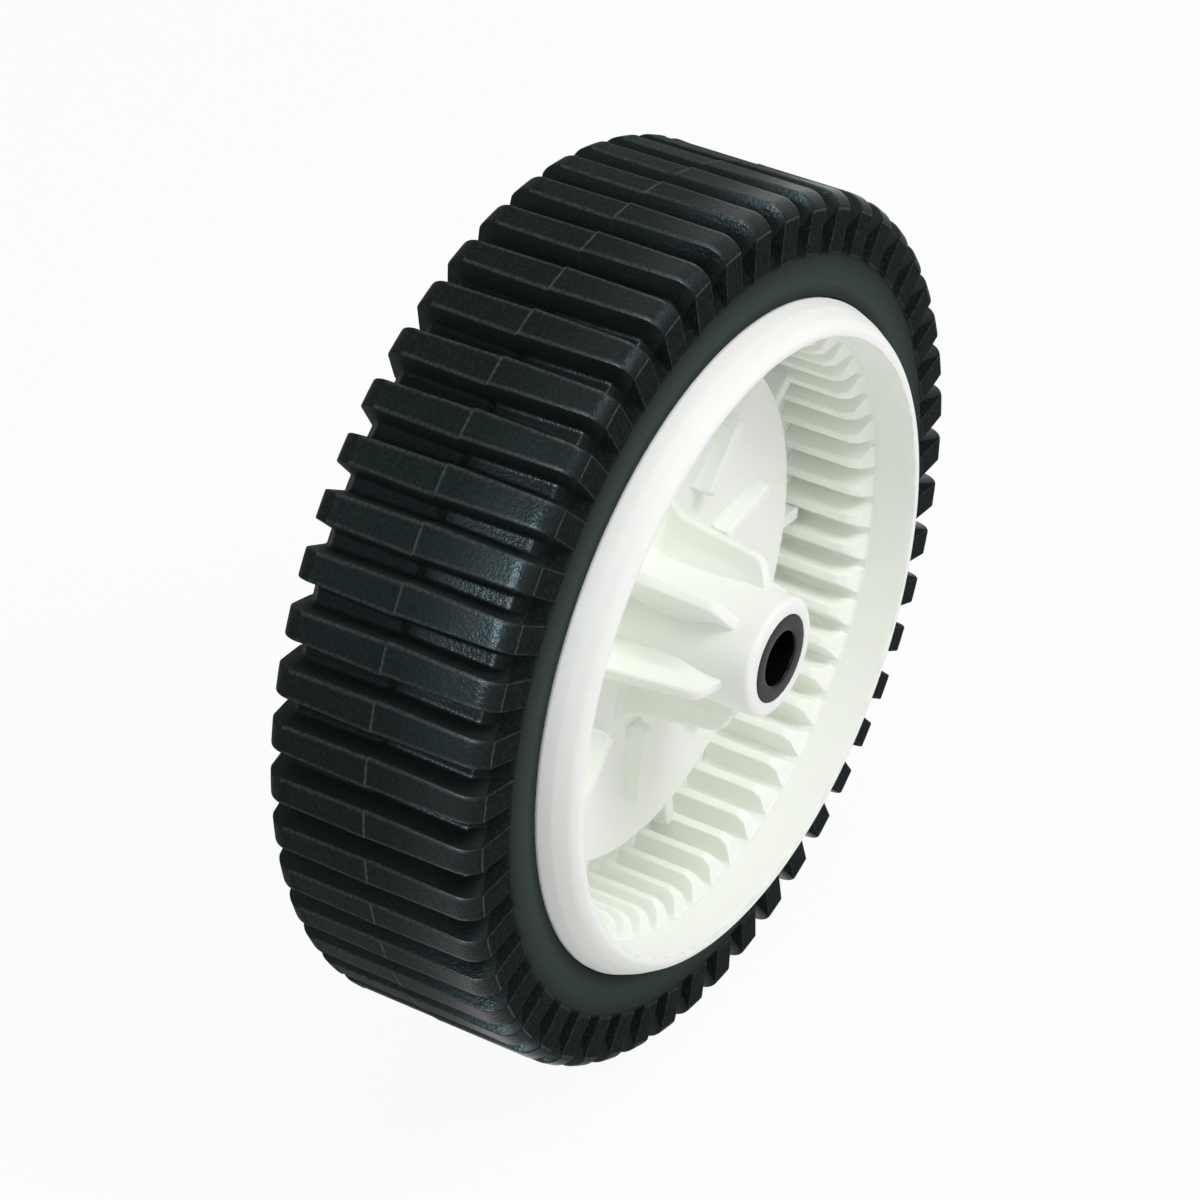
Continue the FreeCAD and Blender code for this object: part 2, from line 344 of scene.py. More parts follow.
def node(tree, kind, feeds=(), **settings):
    """Adds a node. Feeds are (output or value, socket) pairs; settings are the node's properties or the
    values of its sockets, with underscores for spaces."""
    made = tree.nodes.new(kind)
    for key, value in settings.items():
        if key in made.inputs:
            made.inputs[key].default_value = value
        elif hasattr(made, key):
            setattr(made, key, value)
        else:
            made.inputs[key.replace("_", " ")].default_value = value
    for feed, socket in feeds:
        if isinstance(feed, bpy.types.NodeSocket):
            tree.links.new(feed, made.inputs[socket])
        else:
            made.inputs[socket].default_value = feed
    return made


def new_material(name):
    """A node material with its tree and its shader."""
    material = bpy.data.materials.new(name)
    material.use_nodes = True
    material.node_tree.nodes.clear()
    tree = material.node_tree
    shader = node(tree, "ShaderNodeBsdfPrincipled")
    node(tree, "ShaderNodeOutputMaterial", [(shader.outputs["BSDF"], "Surface")])
    return material, tree, shader


def moulded_tyre_compound():
    """Filled black PVC tyre compound, moulded: dull and finely grained, shiny where the mould was polished,
    paler on the sidewalls and the flash line. Painted highlights run along the edges and end faces of the
    bars and along the groove turns, the bar walls carry painted light, and a painted shadow line runs where
    the tyre meets the rim. The grain is drawn coarser than the real one, so that it shows."""
    grain_size, cloud_size = 0.8 * MM, 14 * MM
    colours = bpy.context.scene.wheel_colours
    material, tree, shader = new_material("moulded_tyre_compound")
    place = node(tree, "ShaderNodeTexCoord").outputs["Object"]
    # The sidewall share holds the sidewall's own paler tone, and also painted light on the bar walls and a
    # painted shadow line at the rim
    side, flash_and_painted_highlight, polished = (node(tree, "ShaderNodeAttribute", attribute_name=name).outputs["Fac"]
                              for name in ("sidewall", "flash_and_painted_highlight", "polished"))
    cloud = node(tree, "ShaderNodeTexNoise", [(place, "Vector")], Scale=1 / cloud_size, Detail=4.0)
    grain = node(tree, "ShaderNodeTexNoise", [(place, "Vector")], Scale=1 / grain_size, Detail=3.0,
                 Roughness=0.6).outputs["Fac"]
    fleck = node(tree, "ShaderNodeMapRange", [(grain, "Value")], From_Min=0.45, From_Max=0.75, To_Max=0.45)
    # Grain breaks up the flash line and the painted edge highlights
    broken_flash_and_highlight = node(tree, "ShaderNodeMapRange", [(grain, "Value")], From_Min=0.35, From_Max=0.6, To_Min=0.35)
    broken_flash_and_highlight = node(tree, "ShaderNodeMath", [(broken_flash_and_highlight.outputs["Result"], 0), (flash_and_painted_highlight, 1)], operation="MULTIPLY")
    base = colours.tyre
    for share, shade in ((side, colours.sidewall), (fleck.outputs["Result"], colours.fleck),
                         (broken_flash_and_highlight.outputs[0], colours.flash_and_painted_highlight)):
        base = node(tree, "ShaderNodeMix", [(share, "Factor"), (base, MIX_FIRST), (shade, MIX_SECOND)],
                    data_type="RGBA").outputs[MIX_COLOUR]
    tree.links.new(base, shader.inputs["Base Color"])
    shine = node(tree, "ShaderNodeMapRange", [(polished, "Value")], To_Min=0.03, To_Max=0.18)
    tree.links.new(shine.outputs["Result"], shader.inputs["Specular IOR Level"])
    shader.inputs["Specular Tint"].default_value = (0.8, 0.97, 1.0, 1.0)
    sheen = node(tree, "ShaderNodeMapRange", [(cloud.outputs["Fac"], "Value")], From_Min=0.35, From_Max=0.65,
                 To_Min=0.2, To_Max=0.34)
    rough = node(tree, "ShaderNodeMix", [(polished, "Factor"), (sheen.outputs["Result"], "B")], A=0.7)
    tree.links.new(rough.outputs[0], shader.inputs["Roughness"])
    bump = node(tree, "ShaderNodeBump", [(grain, "Height")], Strength=0.8, Distance=0.2 * MM)
    tree.links.new(bump.outputs["Normal"], shader.inputs["Normal"])
    return material


def natural_white_nylon():
    """Unpigmented moulded nylon: bright, slightly translucent, satin; hollows pick up a soft green from the
    light that passes through the walls, and a broken flash line runs around the lip."""
    break_size, flow_size = 4 * MM, 9 * MM
    colours = bpy.context.scene.wheel_colours
    material, tree, shader = new_material("natural_white_nylon")
    place = node(tree, "ShaderNodeTexCoord").outputs["Object"]
    flash = node(tree, "ShaderNodeAttribute", attribute_name="flash").outputs["Fac"]
    broken = node(tree, "ShaderNodeTexNoise", [(place, "Vector")], Scale=1 / break_size, Detail=5.0)
    broken = node(tree, "ShaderNodeMapRange", [(broken.outputs["Fac"], "Value")], From_Min=0.42,
                  From_Max=0.58, To_Min=0.05, To_Max=0.4)
    share = node(tree, "ShaderNodeMath", [(flash, 0), (broken.outputs["Result"], 1)], operation="MULTIPLY")
    base = node(tree, "ShaderNodeMix", [(share.outputs[0], "Factor"), (colours.nylon, MIX_FIRST),
                                        (colours.scuff, MIX_SECOND)], data_type="RGBA")
    tree.links.new(base.outputs[MIX_COLOUR], shader.inputs["Base Color"])
    shader.inputs["Subsurface Weight"].default_value = 0.2
    shader.inputs["Subsurface Radius"].default_value = (1.0, 1.0, 0.8)
    shader.inputs["Subsurface Scale"].default_value = 2.0 * MM
    shader.inputs["IOR"].default_value = 1.53
    flow = node(tree, "ShaderNodeTexNoise", [(place, "Vector")], Scale=1 / flow_size, Detail=3.0)
    flow = flow.outputs["Fac"]
    satin = node(tree, "ShaderNodeMapRange", [(flow, "Value")], To_Min=0.5, To_Max=0.62)
    tree.links.new(satin.outputs["Result"], shader.inputs["Roughness"])
    bump = node(tree, "ShaderNodeBump", [(flow, "Height")], Strength=0.15, Distance=0.2 * MM)
    tree.links.new(bump.outputs["Normal"], shader.inputs["Normal"])
    return material


def polished_black_acetal():
    """Black acetal, turned and polished: dark and glossy, with faint turning marks."""
    mark_size = 2.5 * MM
    material, tree, shader = new_material("polished_black_acetal")
    shader.inputs["Base Color"].default_value = bpy.context.scene.wheel_colours.bush
    shader.inputs["IOR"].default_value = 1.48
    shader.inputs["Specular IOR Level"].default_value = 0.12
    place = node(tree, "ShaderNodeTexCoord").outputs["Object"]
    marks = node(tree, "ShaderNodeTexNoise", [(place, "Vector")], Scale=1 / mark_size, Detail=2.0)
    gloss = node(tree, "ShaderNodeMapRange", [(marks.outputs["Fac"], "Value")], To_Min=0.12, To_Max=0.24)
    tree.links.new(gloss.outputs["Result"], shader.inputs["Roughness"])
    return material


def tyre_half(sizes, shoulder):
    """Tops and groove floors of one half of the tyre's section, from the bead to the middle plane, in mm. A
    top runs up the sidewall, steps onto the bar's end face, breaks at an edge, rounds over an arc and runs
    level; a floor leaves the sidewall at the bar's foot and slopes up to the groove. Rows are matched at
    marks, and each row's place between them is returned too."""
    radius, seat, bead = sizes.radius / MM, sizes.seat / MM, sizes.bead / MM
    side, end, foot = sizes.sidewall / MM, sizes.bar_end / MM, sizes.bar_end_radius / MM
    floor, floor_turn, drop = radius - sizes.groove / MM, sizes.groove_turn / MM, sizes.shoulder_drop / MM
    bead_depth, bead_round, bead_run = 1.2, 0.5, 1.5
    step_depth, step_round, step_run = 0.5, 0.2, 0.6
    run_out, run_out_round, turn_round = 0.8, 2.0, 1.0
    slope_above_face = 0.45
    sweep = np.radians(np.linspace(65, 0, 14))
    curve = drop / (1 - np.cos(sweep[0]))
    arc = np.stack([radius - curve * (1 - np.cos(sweep)),
                    shoulder - curve * (np.sin(sweep[0]) - np.sin(sweep))], 1)
    start = [(seat, bead - bead_depth, 0), (seat, bead, bead_round)]
    wall = rounded_path(start + [(foot - step_depth, side, step_round), (foot, end, step_round),
                                 (*arc[0], 0)])
    top = np.concatenate([wall, arc[1:], [(radius, 0)]])
    low = rounded_path(start + [(foot - run_out, side, run_out_round), (floor, floor_turn, turn_round),
                                (floor, 0, 0)])
    wall_length = run_length(wall)[-1]
    face = np.linalg.norm(arc[0] - (foot, end))
    low_length = run_length(low)[-1]
    slope_end = low_length - floor_turn
    slope = np.hypot(floor - foot + run_out, side - floor_turn)
    top_marks = [0, bead_run, wall_length - face - step_run, wall_length, wall_length + curve * sweep[0],
                 run_length(top)[-1]]
    low_marks = [0, bead_run, slope_end - slope, slope_end - slope_above_face * slope, slope_end, low_length]
    stretches = (BEAD_ROWS, WALL_ROWS, FACE_ROWS, SHOULDER_ROWS, TOP_ROWS)
    place = np.concatenate([mark + np.array(rows) for mark, rows in enumerate(stretches)])
    marks = np.arange(len(top_marks))
    return (at_length(top, np.interp(place, marks, top_marks)),
            at_length(low, np.interp(place, marks, low_marks)), place)


def tyre_finish(sizes, near, place, flash, radius):
    """Shares of paler surface, of flash and painted highlight, and of polished surface at the tyre's points,
    from each row's place between the marks and each column's number across a bar. The paler share holds the
    sidewall's own tone, painted light on the bar walls and a painted shadow line at the rim. Columns count
    from the groove's middle, through floor, wall and edge, to the bar's top. Painted edge highlights and
    gloss fade as bell curves about a row."""
    wall_start, edge_start, edge_end = 4, 7, 9
    columns = radius.shape[1]
    per_bar = columns // sizes.bar_count
    across = np.arange(columns) % per_bar
    across = np.minimum(across, per_bar - across)
    row = place[:, None]
    edge = (across >= edge_start) & (across <= edge_end)

    # Painted highlights: light lines on the end faces' edges, feet and sides, along the bar edges (strongest
    # near the near shoulder) and at the groove turns. Only the mould line's flash is the compound's own.
    mould_line, face_edge, face_foot, face_sides, groove_line = 0.5, 0.3, 0.12, 0.13, 0.6
    near_edges, near_edge_row, near_edge_spread, all_edges = 0.45, 3.9, 0.35, 0.2
    face_edge_width, face_foot_row, face_foot_width, groove_line_width = 0.025, FACE_FOOT + 0.05, 0.03, 0.015
    ends = np.where(np.abs(row - FACE_EDGE) < face_edge_width, face_edge,
                    np.where(np.abs(row - face_foot_row) < face_foot_width, face_foot, 0))
    edges = near_edges * near * np.exp(-((row - near_edge_row) / near_edge_spread) ** 2)
    edges = np.maximum(edges, all_edges * (row > near_edge_row))
    sides = face_sides * ((row > FACE_FOOT) & (row < FACE_EDGE))
    groove_turn = groove_line * (np.abs(row - FLOOR_TURN) < groove_line_width)
    flash_and_painted_highlight = np.maximum(mould_line * flash, ends) * (across > edge_start)
    flash_and_painted_highlight = np.maximum(flash_and_painted_highlight, edges * edge)
    flash_and_painted_highlight = np.maximum(flash_and_painted_highlight, sides * (edge & (across < edge_end)))
    flash_and_painted_highlight = np.maximum(flash_and_painted_highlight, groove_turn * (across < wall_start - 1))

    dull, floor_gloss_row, top_gloss_row, gloss_spread, face_blend = 0.15, 4.2, 3.8, 0.6, 0.05
    gloss_row = np.where(across < wall_start, floor_gloss_row, top_gloss_row)
    polished = dull + (1 - dull) * near * np.exp(-((row - gloss_row) / gloss_spread) ** 2)
    polished = polished * np.clip((row - FACE_EDGE) / face_blend, 0, 1)

    dark_share, fade, painted_rim_shadow, painted_rim_shadow_fade, painted_wall_light = 0.35, 6.0, 0.3, 0.5, 0.22
    below_bars = sizes.bar_end_radius / MM - radius
    above_rim = radius - sizes.seat / MM
    pale = np.clip(below_bars, 0, 1) * (dark_share + (1 - dark_share) * np.clip(below_bars / fade, 0, 1))
    # Painted shadow: the share drops to the tyre's black in a thin line where the tyre meets the rim
    pale = pale * np.clip((above_rim - painted_rim_shadow) / painted_rim_shadow_fade, 0, 1)
    # Painted light: the walls of the bars are lifted towards the sidewall colour, standing in for light that
    # reaches into the grooves
    wall = (across >= wall_start) & (across <= edge_start)
    pale = np.maximum(pale, painted_wall_light * wall * (row > FACE_EDGE))
    return {"sidewall": pale, "flash_and_painted_highlight": flash_and_painted_highlight, "polished": polished}


class WHEEL_OT_tyre(bpy.types.Operator):
    """Bar-tread tyre: fifty cross bars over both shoulders, grooves between them and smooth sidewalls"""
    bl_idname = "wheel.tyre"
    bl_label = "Tyre"

    def execute(self, context):
        sizes = context.scene.wheel_tyre
        flash_spread, half_blend, notch_spread = 0.25, 0.12, 0.7
        wall_slope, edge_round, foot_round = 0.13, 0.45, 0.9
        mirror = np.array([1.0, -1.0])
        tops, floors, place = tyre_half(sizes, sizes.shoulder / MM)
        far_tops, far_floors, far_place = tyre_half(sizes, sizes.far_shoulder / MM)
        inside = np.array([(sizes.seat / MM, y) for y in (-20.0, -10.0, 0.0, 10.0, 20.0)])
        tops = np.concatenate([tops, far_tops[-2::-1] * mirror, inside])
        floors = np.concatenate([floors, far_floors[-2::-1] * mirror, inside])
        place = np.concatenate([place, far_place[-2::-1], 0 * inside[:, 0]])
        y = tops[:, 1].copy()
        tread = place > 0.1
        flash = tread * np.exp(-(y / flash_spread) ** 2)
        far_half = tread * (0.5 - 0.5 * np.tanh(y / half_blend))
        tops[:, 0] += sizes.flash_height / MM * flash - sizes.half_step / MM * far_half * (place > FLOOR_TURN)
        floors[:, 0] -= sizes.notch / MM * tread * np.exp(-(y / notch_spread) ** 2)
        depth = np.linalg.norm(tops - floors, axis=1)
        lost = np.where(y > 0, sizes.bar_taper, sizes.far_taper) / MM
        half = sizes.bar_width / MM / 2 - lost / 2 * np.minimum(np.abs(y) * MM / sizes.shoulder, 1)
        points = barred_ring(tops, floors, half, half + wall_slope * depth, sizes.bar_count, sizes.bar_angle,
                             edge_round, foot_round)
        shift = -sizes.mismatch / sizes.radius * far_half[:, None]
        x, z = points[..., 0], points[..., 2]
        points = np.stack([x * np.cos(shift) - z * np.sin(shift), points[..., 1],
                           x * np.sin(shift) + z * np.cos(shift)], -1)
        piece = mesh_piece("bar_tread_tyre", points, torus_faces(*points.shape[:2]), moulded_tyre_compound())
        radius = np.hypot(points[..., 0], points[..., 2]) / MM
        finish = tyre_finish(sizes, y[:, None] > 0, place, flash[:, None], radius)
        for name, values in finish.items():
            point_layer(piece, name, values)
        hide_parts("tyre")
        return {"FINISHED"}


class WHEEL_OT_hub(bpy.types.Operator):
    """Rim, lip, web disc and boss turned as one closed section"""
    bl_idname = "wheel.hub"
    bl_label = "Hub"

    def execute(self, context):
        hub = context.scene.wheel_hub
        seat_gap, bore_gap, root_gap = 0.1, 0.02, 0.15
        seat = context.scene.wheel_tyre.seat / MM - seat_gap
        bore = context.scene.wheel_bush.outer / MM + bore_gap
        boss, front, back = hub.boss_radius / MM, HUB_HIGH.y / MM, hub.boss_back / MM
        disc, edge, dish = hub.disc_radius / MM, hub.disc_front / MM, hub.dish_floor / MM
        root, lip, groove = hub.gear_root / MM + root_gap, hub.lip_top / MM, hub.gear_back / MM
        far, wall, backing = HUB_LOW.y / MM, hub.rim_wall / MM, hub.backing / MM
        dish_back = dish - hub.web / MM
        start = (bore, 10, 0)
        boss_front = [(bore, front, 0.15), (boss, front, 1.6), (boss, dish, 2.5)]
        disc_front = [(40.0, dish + 0.8, 6.0), (disc, edge, 0.6), (disc, groove, 0.8), (root, groove, 0.5)]
        lip_curve = [(root, 26.0, 0), (root + 0.1, lip - 0.15, 0.4), (root + 1.8, lip, 2.0),
                     (75.3, 33.7, 4.0), (77.3, 30.4, 4.0), (seat + 0.1, 27.6, 0.8)]
        tyre_seat = [(seat, 26.6, 0.2), (seat, 0, 0), (seat, far, 0.6)]
        far_dish = [(seat - wall, far, 1.2), (seat - wall - 0.4, backing, 1.5), (disc - 2.0, backing, 1.5),
                    (disc - 4.0, dish_back, 1.5), (boss, dish_back, 1.5)]
        boss_back = [(boss, back, 0.8), (bore, back, 0.15)]
        corners = [start] + boss_front + disc_front + lip_curve + tyre_seat + far_dish + boss_back + [start]
        section = rounded_path(corners, 7)[:-1]
        piece = ring_piece("hub_rim_web_and_boss", section, HUB_COLUMNS, natural_white_nylon(),
                           30.0)
        flash_inset, flash_spread = 0.15, 0.2
        across = np.hypot(section[:, 0] - root - flash_inset, section[:, 1] - lip + flash_inset)
        point_layer(piece, "flash", np.repeat(np.exp(-(across / flash_spread) ** 2), HUB_COLUMNS))
        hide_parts("wheel_hub")
        return {"FINISHED"}


class WHEEL_OT_gear(bpy.types.Operator):
    """Internal ring gear: straight teeth, bevelled at the front, set in the rim's wall"""
    bl_idname = "wheel.gear"
    bl_label = "Ring gear"

    def execute(self, context):
        hub = context.scene.wheel_hub
        tip, root = hub.gear_tip / MM, hub.gear_root / MM
        front, back = hub.gear_front / MM, hub.gear_back / MM - 0.4
        flank_slope, edge_round, foot_round = 0.36, 0.4, 0.6
        ring_front, ring_depth = front + 0.6, 1.5
        bevel = [(root, ring_front, 0), (root - 0.2, front, 0.3), (tip + 1.2, front - 1.4, 1.0),
                 (tip, front - 3.6, 2.0)]
        tops = rounded_path(bevel + [(tip, 14.0, 0), (tip, 8.0, 0), (tip, back, 0)], 7)
        floors = np.stack([np.full(len(tops), root), tops[:, 1]], 1)
        outside = np.array([(root + ring_depth, back), (root + ring_depth, ring_front)])
        tops, floors = np.concatenate([tops, outside]), np.concatenate([floors, outside])
        depth = np.linalg.norm(tops - floors, axis=1)
        half_top = hub.tooth_width / MM / 2 + flank_slope * (root - tip - depth)
        points = barred_ring(tops, floors, half_top, half_top + flank_slope * depth, hub.tooth_count,
                             hub.tooth_angle, edge_round, foot_round)
        piece = nylon_piece("ring_gear_teeth", points, torus_faces(*points.shape[:2]))
        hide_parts("wheel_hub")
        return {"FINISHED"}


def fillet(distance, radius):
    """Widening of a wall near the face that it stands on: a quarter circle of the given radius."""
    inside = np.clip(1 - distance / radius, 0, 1)
    return radius * (1 - np.sqrt(1 - inside ** 2))


def radial_plates(outline, inner, thickness, round_edge, widen, count, first_angle):
    """Equal plates about the axle. Each is a ruled surface from an inner line to an outline, both in the
    plate's own (radius, y) plane; its half thickness follows a rounded edge and is widened near its foot.
    Returns points, faces of all plates."""
    bend = np.linspace(0, np.pi / 2, 6)
    span = np.linalg.norm(outline - inner, axis=1)[:, None]
    half = thickness / 2
    step = np.array([0.04, 0.1, 0.2, 0.35, 0.55, 0.75, 1.0])
    inset = np.concatenate([round_edge * (1 - np.sin(bend[::-1])) + 0 * span,
                            round_edge + (span - round_edge) * step], 1)
    width = np.concatenate([half - round_edge + round_edge * np.cos(bend[::-1]), np.full(len(step), half)])
    share = 1 - inset / span
    plane = inner[:, None, :] + (outline - inner)[:, None, :] * share[..., None]
    wide = width + widen(plane[..., 0], plane[..., 1])
    plane = np.concatenate([plane[:, ::-1], plane], 1)
    wide = np.concatenate([wide[:, ::-1], -wide], 1)
    angle = first_angle + 2 * np.pi * np.arange(count)[:, None, None] / count
    across = np.stack([-np.sin(angle) * wide, 0 * angle * wide, np.cos(angle) * wide], -1)
    points = spun(plane[None, ..., 0] + 0 * angle, plane[None, ..., 1] + 0 * angle, angle) + across * MM
    rows, columns = plane.shape[:2]
    faces = tube_faces(rows, columns)
    return points, [tuple(np.array(f) + k * rows * columns) for k in range(count) for f in faces]


class WHEEL_OT_fins(bpy.types.Operator):
    """Fins along the boss, tapered to a rounded nose and flared where they meet boss and disc"""
    bl_idname = "wheel.fins"
    bl_label = "Fins"

    def execute(self, context):
        hub = context.scene.wheel_hub
        boss, dish = hub.boss_radius / MM, hub.dish_floor / MM
        nose, top = hub.fin_nose / MM, hub.fin_top / MM
        sunk_in_disc, sunk_in_boss, sunk_root = 2.0, 1.0, 2.5
        boss_fillet, disc_fillet, edge_round = 1.6, 1.8, 0.9
        draft, draft_length = 0.35, 25.0
        flare_end, flare_fade = 30.0, 8.0
        outline = rounded_path([(boss + hub.fin_reach / MM, dish - sunk_in_disc, 0),
                                (boss + hub.fin_foot / MM, dish + 0.6, 7.0),
                                (boss + hub.fin_shoulder / MM, nose, 4.0), (boss - sunk_in_boss, top, 0)], 9)
        outline = filled_in(outline, 40)
        root_top = top - 1.2
        inner = np.stack([np.full(len(outline), boss - sunk_root), np.minimum(outline[:, 1], root_top)], 1)

        def widen(radius, y):
            flare = fillet(radius - boss, boss_fillet) * np.clip((flare_end - y) / flare_fade, 0, 1)
            return draft * np.clip((nose - y) / draft_length, 0, 1) + flare + fillet(y - dish, disc_fillet)

        points, faces = radial_plates(outline, inner, hub.fin_thickness / MM, edge_round, widen,
                                      hub.fin_count, hub.fin_angle)
        piece = nylon_piece("boss_fins", points, faces)
        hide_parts("wheel_hub")
        return {"FINISHED"}


class WHEEL_OT_ribs(bpy.types.Operator):
    """Low ribs on the dish of the disc, with blunt rounded ends"""
    bl_idname = "wheel.ribs"
    bl_label = "Web ribs"

    def execute(self, context):
        hub = context.scene.wheel_hub
        dish = hub.dish_floor / MM
        inner_end, outer_end, top = hub.rib_inner / MM, hub.rib_outer / MM, dish + hub.rib_height / MM
        foot_fillet, fillet_start, edge_round = 2.2, dish + 0.4, 0.6
        inner_inset, outer_inset, root_depth = 4.0, 3.6, 1.5
        outline = rounded_path([(inner_end - 0.4, dish - 1.0, 0), (inner_end, top, 1.2),
                                (outer_end, top, 1.4), (outer_end + 0.8, dish - 0.6, 0)], 7)
        outline = filled_in(outline, 24)
        root = np.clip(outline[:, 0], inner_end + inner_inset, outer_end - outer_inset)
        inner = np.stack([root, np.full(len(outline), dish - root_depth)], 1)

        def widen(radius, y):
            return fillet(y - fillet_start, foot_fillet)

        points, faces = radial_plates(outline, inner, hub.rib_thickness / MM, edge_round, widen,
                                      hub.rib_count, hub.rib_angle)
        piece = nylon_piece("web_ribs", points, faces)
        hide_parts("wheel_hub")
        return {"FINISHED"}


class WHEEL_OT_ties(bpy.types.Operator):
    """Small ties from the disc's edge to the teeth, midway between the low ribs"""
    bl_idname = "wheel.ties"
    bl_label = "Ties"

    def execute(self, context):
        hub = context.scene.wheel_hub
        disc, edge, tip = hub.disc_radius / MM, hub.disc_front / MM, hub.gear_tip / MM
        groove = hub.gear_back / MM
        foot_fillet, edge_round, root_depth, root_inset = 1.0, 0.5, 0.8, 1.0
        foot = groove - 0.5
        outline = rounded_path([(disc - 1.4, foot, 0), (disc - 1.2, edge - 0.2, 0.4),
                                (tip + 1.0, edge - 0.5, 0.8), (tip + 1.4, foot, 0)], 6)
        outline = filled_in(outline, 16)
        root = np.clip(outline[:, 0], disc + root_inset, tip - root_inset)
        inner = np.stack([root, np.full(len(outline), groove - root_depth)], 1)

        def widen(radius, y):
            return fillet(y - groove, foot_fillet)

        points, faces = radial_plates(outline, inner, hub.tie_thickness / MM, edge_round, widen,
                                      hub.rib_count, hub.rib_angle - np.pi / hub.rib_count)
        piece = nylon_piece("disc_edge_ties", points, faces)
        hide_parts("wheel_hub")
        return {"FINISHED"}


class WHEEL_OT_bush(bpy.types.Operator):
    """Axle bush: plain black sleeve with a chamfered bore"""
    bl_idname = "wheel.bush"
    bl_label = "Axle bush"

    def execute(self, context):
        bush = context.scene.wheel_bush
        outer, bore = bush.outer / MM, bush.bore / MM
        low, high = BUSH_LOW.y / MM, BUSH_HIGH.y / MM
        bore_round, outer_round = 0.5, 0.25
        start = (bore, 13, 0)
        corners = [start, (bore, high, bore_round), (outer, high, outer_round), (outer, low, outer_round),
                   (bore, low, bore_round), start]
        section = rounded_path(corners, 7)[:-1]
        piece = ring_piece("axle_bush_sleeve", section, BUSH_COLUMNS, polished_black_acetal(),
                           35.0)
        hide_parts("axle_bush")
        return {"FINISHED"}


def area_light(name, place, size, power, tint):
    """A soft square lamp at a place in metres, facing the wheel's middle."""
    lamp = bpy.data.lights.new(name, "AREA")
    lamp.shape = "SQUARE"
    lamp.size = size
    lamp.energy = power
    lamp.color = tint
    holder = bpy.data.objects.new(name, lamp)
    bpy.context.scene.collection.objects.link(holder)
    holder.location = place
    holder.rotation_euler = (-Vector(place)).to_track_quat("-Z", "Y").to_euler()
    return holder


def seen_directly(tree):
    """Output that is 1 for rays from the camera, in reflections and through clear things."""
    rays = node(tree, "ShaderNodeLightPath").outputs
    clear = node(tree, "ShaderNodeMath", [(rays["Is Glossy Ray"], 0), (rays["Is Transmission Ray"], 1)],
                 operation="MAXIMUM")
    return node(tree, "ShaderNodeMath", [(rays["Is Camera Ray"], 0), (clear.outputs[0], 1)],
                operation="MAXIMUM").outputs[0]


def studio_world():
    """White to the camera and to reflections, a soft grey light for the rest."""
    world = bpy.data.worlds.new("studio")
    bpy.context.scene.world = world
    world.use_nodes = True
    tree = world.node_tree
    tree.nodes.clear()
    soft = node(tree, "ShaderNodeBackground", Color=AMBIENT_TINT, Strength=AMBIENT_STRENGTH)
    white = node(tree, "ShaderNodeBackground", Color=WHITE, Strength=1.0)
    mix = node(tree, "ShaderNodeMixShader", [(seen_directly(tree), 0), (soft.outputs[0], 1),
                                             (white.outputs[0], 2)])
    node(tree, "ShaderNodeOutputWorld", [(mix.outputs[0], "Surface")])


def studio_floor(level):
    """Pale floor that stays near white to the camera and still takes the soft shadow."""
    sides = [(-1, -1), (1, -1), (1, 1), (-1, 1)]
    points = [(FLOOR_REACH * x, FLOOR_REACH * y, level) for x, y in sides]
    mesh = bpy.data.meshes.new("studio_floor")
    mesh.from_pydata(points, [], [(0, 1, 2, 3)])
    floor = bpy.data.objects.new("studio_floor", mesh)
    bpy.context.scene.collection.objects.link(floor)
    material, tree, shader = new_material("pale_paper")
    shader.inputs["Base Color"].default_value = bpy.context.scene.wheel_colours.floor
    shader.inputs["Roughness"].default_value = 0.9
    share = node(tree, "ShaderNodeMath", [(seen_directly(tree), 0), (FLOOR_GLOW, 1)], operation="MULTIPLY")
    glow = node(tree, "ShaderNodeEmission", Color=WHITE, Strength=1.0)
    mix = node(tree, "ShaderNodeMixShader", [(share.outputs[0], 0), (shader.outputs[0], 1),
                                             (glow.outputs[0], 2)])
    output = next(n for n in tree.nodes if n.type == "OUTPUT_MATERIAL")
    tree.links.new(mix.outputs[0], output.inputs["Surface"])
    mesh.materials.append(material)


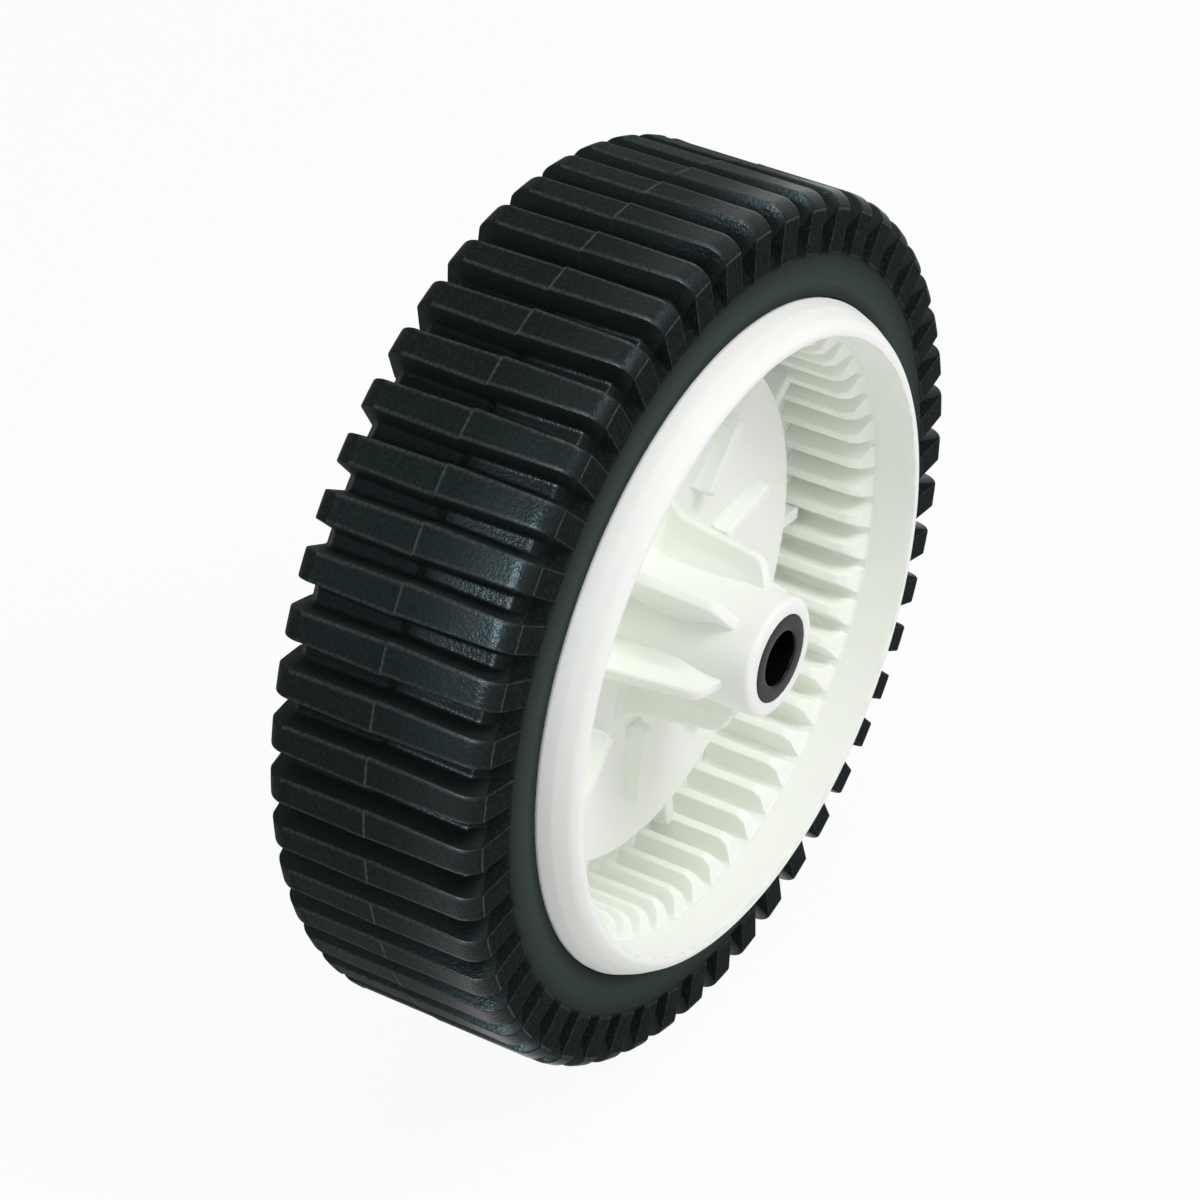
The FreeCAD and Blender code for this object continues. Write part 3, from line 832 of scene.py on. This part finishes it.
class WHEEL_OT_stage(bpy.types.Operator):
    """Pale floor, soft studio light and the camera"""
    bl_idname = "wheel.stage"
    bl_label = "Stage"

    def execute(self, context):
        scene = context.scene
        scene.view_settings.view_transform = "Standard"
        studio_world()
        studio_floor(TYRE_LOW.z - FLOOR_GAP)
        lamps = {lamp[0]: area_light(*lamp) for lamp in LAMPS}
        lamps["tread_sheen"].visible_diffuse = False
        camera = bpy.data.cameras.new("photo_camera")
        camera.lens = CAMERA_LENS
        camera.sensor_width = CAMERA_SENSOR
        camera.shift_x = CAMERA_SHIFT_X
        camera.shift_y = CAMERA_SHIFT_Y
        holder = bpy.data.objects.new("photo_camera", camera)
        scene.collection.objects.link(holder)
        level = math.cos(CAMERA_RISE)
        back = Vector((math.sin(CAMERA_AZIMUTH) * level, math.cos(CAMERA_AZIMUTH) * level,
                       math.sin(CAMERA_RISE)))
        facing = (-back).to_track_quat("-Z", "Y").to_matrix().to_4x4()
        holder.matrix_world = Matrix.Translation(back * CAMERA_DISTANCE) @ facing
        scene.camera = holder
        return {"FINISHED"}


PIECES = (WHEEL_OT_tyre, WHEEL_OT_hub, WHEEL_OT_gear, WHEEL_OT_fins, WHEEL_OT_ribs, WHEEL_OT_ties,
          WHEEL_OT_bush, WHEEL_OT_stage)
GROUPS = {"wheel_tyre": TyreSizes, "wheel_hub": HubSizes, "wheel_bush": BushSizes,
          "wheel_colours": WheelColours}


class WHEEL_PT_sidebar(bpy.types.Panel):
    """Builds the wheel piece by piece"""
    bl_idname = "WHEEL_PT_sidebar"
    bl_label = "Mower drive wheel"
    bl_space_type = "VIEW_3D"
    bl_region_type = "UI"
    bl_category = "Wheel"

    def draw(self, context):
        for operator in PIECES:
            self.layout.operator(operator.bl_idname)
        for name, group in GROUPS.items():
            box = self.layout.box()
            for prop in group.__annotations__:
                box.prop(getattr(context.scene, name), prop)


def register():
    for group in GROUPS.values():
        bpy.utils.register_class(group)
    for name, group in GROUPS.items():
        setattr(bpy.types.Scene, name, bpy.props.PointerProperty(type=group))
    for operator in PIECES:
        bpy.utils.register_class(operator)
    bpy.utils.register_class(WHEEL_PT_sidebar)


def unregister():
    bpy.utils.unregister_class(WHEEL_PT_sidebar)
    for operator in reversed(PIECES):
        bpy.utils.unregister_class(operator)
    for name, group in reversed(GROUPS.items()):
        delattr(bpy.types.Scene, name)
        bpy.utils.unregister_class(group)


def main():
    register()
    bpy.ops.wheel.tyre()
    bpy.ops.wheel.hub()
    bpy.ops.wheel.gear()
    bpy.ops.wheel.fins()
    bpy.ops.wheel.ribs()
    bpy.ops.wheel.ties()
    bpy.ops.wheel.bush()
    bpy.ops.wheel.stage()


if __name__ == "__main__":
    main()
